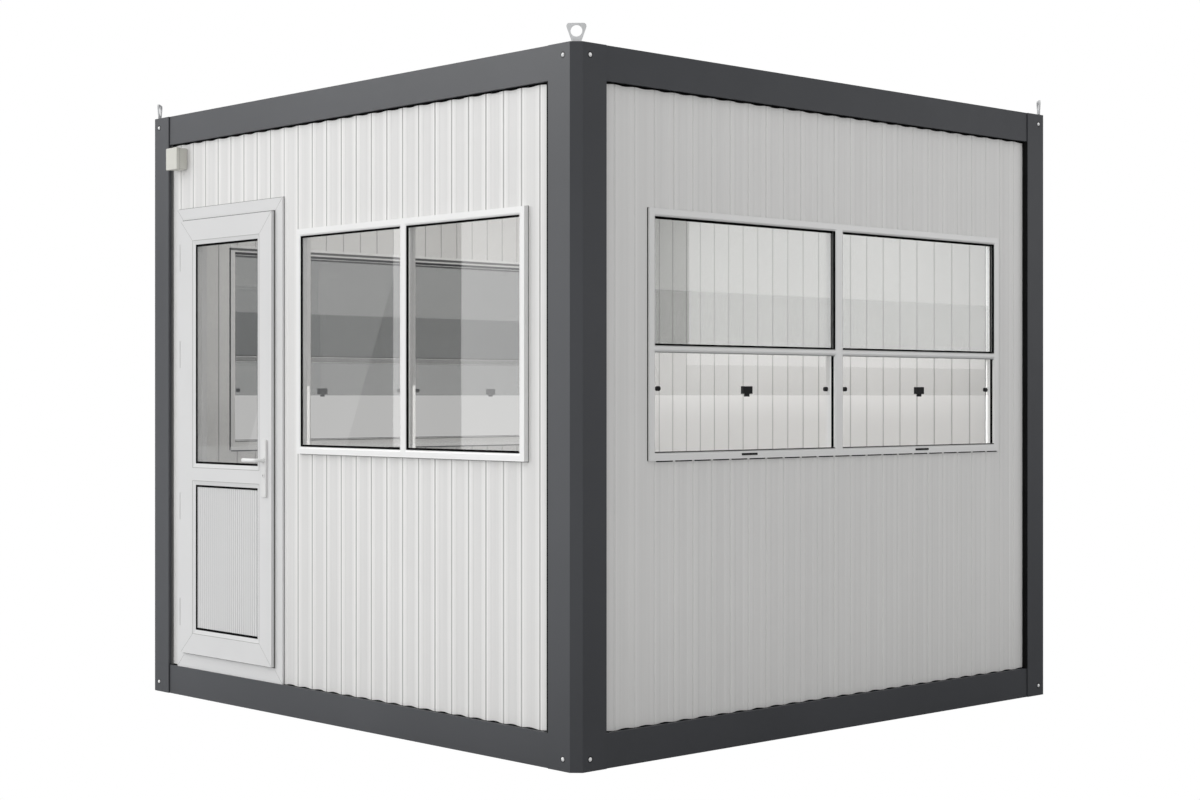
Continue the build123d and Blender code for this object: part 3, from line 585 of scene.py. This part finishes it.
def outline_lines(shape):
    """Fine dark joints between the side windows' frames and the walls, with painted shadow under the frames, broken
    at each groove.
    """
    y0, y1, z0, z1 = *SIDE_OUT, *WINDOW_UP
    strips = [(y0 - 0.004, y0, z0, z1), (y1, y1 + 0.0125, z0, z1), (y0 - 0.002, y1 + 0.002, z1, z1 + 0.0012)]
    first = math.ceil((y0 - SIDE_START) / PITCH)
    for k in range(first, first + 21):
        groove = SIDE_START + PITCH * k
        strips.append((max(groove + 0.007, y0), min(groove + PITCH - 0.007, y1), z0 - 0.0046, z0))
    for side in (on_right, on_left):
        wall_joints(shape, side, strips)


def front_outline(shape):
    """The same joint round the front window, as a fine line of painted shade where the frame meets the wall."""
    x0, x1, z0, z1 = *FRONT_OUT, *WINDOW_UP
    wall_joints(shape, on_front, [(x0 - 0.002, x0, z0, z1), (x1, x1 + 0.002, z0, z1),
                                  (x0 - 0.002, x1 + 0.002, z1, z1 + 0.002),
                                  (x0 - 0.002, x1 + 0.002, z0 - 0.003, z0)])


piece("front_window_outline_shade", front_outline, "booth", "shade")
piece("window_outline_joints_and_shadow", outline_lines, "booth", "rubber_and_shade")


# ---------------------------------------------------------------- door: gaskets, joints, mitres and painted shade
DOOR_IN = (-1.042, -0.561)          # between the glazing beads
LEAF_FACE, DOOR_FACE, BEAD_END, INFILL = -0.006, 0.012, -0.001, 0.004
BEAD = 0.018                        # how wide the glazing beads are
LEAF_X, LEAF_Z = (-1.158, -0.453), (0.192, 2.087)
LIGHT_X, GLASS_Z, PANEL_Z = (-1.060, -0.543), (1.007, 1.997), (0.282, 0.950)
FRAME_X, FRAME_Z = (-1.213, -0.398), (0.125, 2.142)


def shrink(span, by):
    return (span[0] + by, span[1] - by)


def door_gaskets(shape):
    """Black seals round the glass and the lower panel, wider above and below than beside them."""
    lip = (INFILL - 0.0012, INFILL - 0.0001)
    for up in (GLASS_Z, PANEL_Z):
        inner = shrink(up, BEAD)
        window_ring(shape, DOOR_IN, inner, (BEAD_END + 0.0006, INFILL - 0.0001), 0.0010, on_front)
        window_ring(shape, DOOR_IN, inner, lip, 0.0070, on_front, sides=(1, 1, 0, 0))
        window_ring(shape, DOOR_IN, inner, lip, 0.0092, on_front, sides=(0, 0, 1, 1))


piece("door_gaskets", door_gaskets, "door", "rubber_and_shade")


def slanted(shape, a, b, face, wide):
    """A fine flat line from a to b, both (across, up), on the front."""
    (x0, z0), (x1, z1) = a, b
    run = math.hypot(x1 - x0, z1 - z0)
    nx, nz = (z0 - z1) / run * wide / 2, (x1 - x0) / run * wide / 2
    loops = []
    for x, z in (a, b):
        loops.append([on_front(x - nx, face - 0.0002, z - nz), on_front(x + nx, face - 0.0002, z + nz),
                      on_front(x + nx, face + 0.001, z + nz), on_front(x - nx, face + 0.001, z - nz)])
    sweep(shape, loops)


def corners_of(x, z):
    return [(x[0], z[0]), (x[1], z[0]), (x[1], z[1]), (x[0], z[1])]


def leaf_lines(shape):
    """Bead outlines and the welded mitres at the leaf's corners."""
    for up in (GLASS_Z, PANEL_Z):
        box = corners_of(LIGHT_X, up)
        for k in range(4):
            slanted(shape, box[k], box[(k + 1) % 4], LEAF_FACE, 0.0022)
    outer = corners_of(LEAF_X, LEAF_Z)
    inner = corners_of(LIGHT_X, (PANEL_Z[0], GLASS_Z[1]))
    for a, b in zip(outer, inner):
        inset = (a[0] + (b[0] - a[0]) * 0.03, a[1] + (b[1] - a[1]) * 0.03)
        slanted(shape, inset, b, LEAF_FACE, 0.0014)


piece("door_leaf_joints", leaf_lines, "door", "hairline")


def frame_lines(shape):
    """The frame's welded mitres."""
    outer = corners_of(shrink(FRAME_X, 0.001), shrink(FRAME_Z, 0.001))
    inner = corners_of(shrink(FRAME_X, 0.055), shrink(FRAME_Z, 0.055))
    for a, b in zip(outer, inner):
        slanted(shape, a, b, DOOR_FACE, 0.0014)


piece("door_frame_joints", frame_lines, "booth", "hairline")


def leaf_gap_shadow(shape):
    """Painted shadow in the gap between the leaf's flange and the frame, drawn as a thin lip."""
    across, up = (LEAF_X[0] - 0.0030, LEAF_X[1] + 0.0015), (LEAF_Z[0] - 0.0045, LEAF_Z[1] + 0.0045)
    window_ring(shape, across, up, (DOOR_FACE - 0.0045, DOOR_FACE - 0.0008), 0.006, on_front)


piece("door_leaf_gap_shadow", leaf_gap_shadow, "door", "shade")


def frame_outline(shape):
    """Fine dark joint between the door frame and the walls beside it, drawn as painted shade of the gap there."""
    x0, x1, z0, z1 = *FRAME_X, *FRAME_Z
    wall_joints(shape, on_front, [(x0 - 0.0025, x0, z0, z1), (x1, x1 + 0.0020, z0, z1),
                                  (x0 - 0.0025, x1 + 0.0020, z1, z1 + 0.0030)])


piece("door_outline_shade", frame_outline, "booth", "shade")


def key_slot(shape):
    """Painted shade for the slot in the lock's cylinder."""
    bar(shape, (-0.4983, -0.4957), (-HALF + LEAF_FACE - 0.0131, -HALF + LEAF_FACE - 0.0125), (0.984, 0.992))


piece("door_key_slot_shade", key_slot, "door", "black")


def box_lines(shape):
    """The joint between the junction box's base and its lid."""
    (x0, x1), (z0, z1), wide = (-1.2371, -1.1489), (2.3169, 2.4111), 0.0006
    along = shrink((x0, x1), 0.0002)
    for across, up in ((along, (z0, z0 + wide)), (along, (z1 - wide, z1)),
                       ((x1 - wide, x1), (z0, z1)), ((x0, x0 + wide), (z0, z1))):
        box_between(shape, on_front, across, up, (-0.0169, -0.0155))


piece("junction_box_joint", box_lines, "booth", "shade")


# ---------------------------------------------------------------- floor, world and lights
# Cameras see floor and backdrop as plain white; mirrors and plain light see softer tones
floor_material, t = new_material("studio_floor")
matt = t.add("ShaderNodeBsdfDiffuse", {"Color": (0.55, 0.55, 0.55, 1)}).outputs[0]
paths = t.add("ShaderNodeLightPath").outputs
behind = t.maths("GREATER_THAN", paths["Transparent Depth"], 0.5)
glow = t.add("ShaderNodeEmission", {"Color": (1, 1, 1, 1),
                                    "Strength": t.ramp(behind, 0.0, 1.0, 1.0, BACKDROP_BEHIND_GLASS)}).outputs[0]
spot = t.add("ShaderNodeNewGeometry").outputs["Position"]
near = t.add("ShaderNodeVectorMath", {0: spot, 1: (-0.5, -0.87, 0.0)}, operation="DOT_PRODUCT").outputs["Value"]
sheen = t.add("ShaderNodeEmission", {"Color": MIRROR_TINT,
                                     "Strength": t.ramp(near, -0.5, 2.5, 0.19, 0.76)}).outputs[0]
bounced = t.add("ShaderNodeMixShader", {0: paths["Is Glossy Ray"], 1: matt, 2: sheen}).outputs[0]
whole = t.add("ShaderNodeMixShader", {0: paths["Is Camera Ray"], 1: bounced, 2: glow}).outputs[0]
t.add("ShaderNodeOutputMaterial", {"Surface": whole})

REACH = 40
floor_mesh = bpy.data.meshes.new("studio_floor")
floor_mesh.from_pydata([(-REACH, -REACH, 0), (REACH, -REACH, 0), (REACH, REACH, 0), (-REACH, REACH, 0)], [],
                       [(0, 1, 2, 3)])
floor_mesh.materials.append(floor_material)
floor = bpy.data.objects.new("studio_floor", floor_mesh)
bpy.context.scene.collection.objects.link(floor)

world = bpy.data.worlds.new("studio_world")
bpy.context.scene.world = world
world.use_nodes = True
t = Tree(world)
way = t.add("ShaderNodeTexCoord").outputs["Generated"]
rays = t.add("ShaderNodeLightPath").outputs
toward = t.add("ShaderNodeVectorMath", {0: way, 1: (-0.48, -0.80, 0.36)}, operation="DOT_PRODUCT").outputs["Value"]
soft = t.add("ShaderNodeMapRange", {0: toward, 1: -0.4, 2: 1.0, 3: 0.38, 4: 1.45}).outputs[0]
away = t.add("ShaderNodeBackground", {"Color": (1, 1, 1, 1), "Strength": soft}).outputs[0]
mirrored = t.ramp(toward, -0.5, 0.85, 0.17, 0.46)
gloss = t.add("ShaderNodeBackground", {"Color": MIRROR_TINT, "Strength": mirrored}).outputs[0]
behind = t.maths("GREATER_THAN", rays["Transparent Depth"], 0.5)
seen = t.add("ShaderNodeBackground", {"Color": (1, 1, 1, 1),
                                      "Strength": t.ramp(behind, 0.0, 1.0, 1.0, BACKDROP_BEHIND_GLASS)}).outputs[0]
mixed = t.add("ShaderNodeMixShader", {0: rays["Is Glossy Ray"], 1: away, 2: gloss}).outputs[0]
mixed = t.add("ShaderNodeMixShader", {0: rays["Is Camera Ray"], 1: mixed, 2: seen}).outputs[0]
t.add("ShaderNodeOutputWorld", {"Surface": mixed})


def softbox(name, middle, aim, width, height, radiance, turn=0.0, diffuse=True, glossy=True):
    """A rectangular area light: radiance is what its mirror image shows."""
    data = bpy.data.lights.new(name, "AREA")
    data.shape, data.size, data.size_y = "RECTANGLE", width, height
    data.energy = radiance * math.pi * width * height
    lamp = bpy.data.objects.new(name, data)
    lamp.location = middle
    face = (Vector(aim) - Vector(middle)).to_track_quat("-Z", "Y")
    lamp.rotation_euler = (face.to_matrix() @ Matrix.Rotation(turn, 3, "Z")).to_euler()
    bpy.context.scene.collection.objects.link(lamp)
    lamp.visible_camera = False
    lamp.visible_diffuse = diffuse
    lamp.visible_glossy = glossy
    return lamp


# The front ones light the door wall and stand as mirror images in its glass
softbox("box_front_wide", (-5.4, -8.0, 2.4), (-5.4, 0.0, 2.4), 3.8, 4.6, 1.75)
softbox("box_front_strip", (-8.155, -8.0, 2.4), (-8.155, 0.0, 2.4), 0.25, 4.6, 1.75)
softbox("box_front_high", (-6.0, -8.0, 7.2), (0.0, 0.0, 1.4), 9.0, 4.0, 5.0, diffuse=False)
softbox("box_front_faint", (-9.35, -8.0, 1.85), (-9.35, 0.0, 1.85), 1.47, 3.0, 0.34, turn=-0.4416, diffuse=False)
softbox("fill_right_high", (3.5, 0.0, 5.2), (1.4, 0.0, 2.4), 1.5, 4.0, 1.08, glossy=False)
softbox("box_side", (8.0, 8.52, 2.95), (0.0, 8.52, 2.95), 5.2, 2.74, 1.75)
softbox("light_inside", (0.0, 0.0, 2.38), (0.0, 0.0, 0.0), 2.3, 2.3, 1.15, glossy=False)
softbox("light_upward", (0.0, 0.0, 1.2), (0.0, 0.0, 2.0), 2.2, 2.2, 0.70, glossy=False)
softbox("fill_corner", (-0.25, -0.75, 0.85), (-1.34, -1.15, 1.0), 0.5, 0.8, 1.3, glossy=False)

# One lamp lights the window reveals alone
reveals = bpy.data.collections.new("lit_linings")
for made in linings:
    reveals.objects.link(made)
lamp = softbox("fill_linings", (6.3, -5.8, 2.4), (0.6, -0.6, 1.5), 2.0, 2.0, 44.0, glossy=False)
lamp.light_linking.receiver_collection = reveals

# ---------------------------------------------------------------- camera, from the photo's vanishing points
view_data = bpy.data.cameras.new("photo_view")
view_data.lens, view_data.sensor_width = 61.4, 36.0
view_data.shift_y = -0.003
view_data.clip_end = 200.0
camera = bpy.data.objects.new("photo_view", view_data)
camera.location = (6.6826, -6.2294, 1.3173)
camera.rotation_euler = (math.radians(90.0), 0.0, math.radians(46.90))
bpy.context.scene.collection.objects.link(camera)
bpy.context.scene.camera = camera
bpy.context.scene.view_settings.view_transform = "Standard"
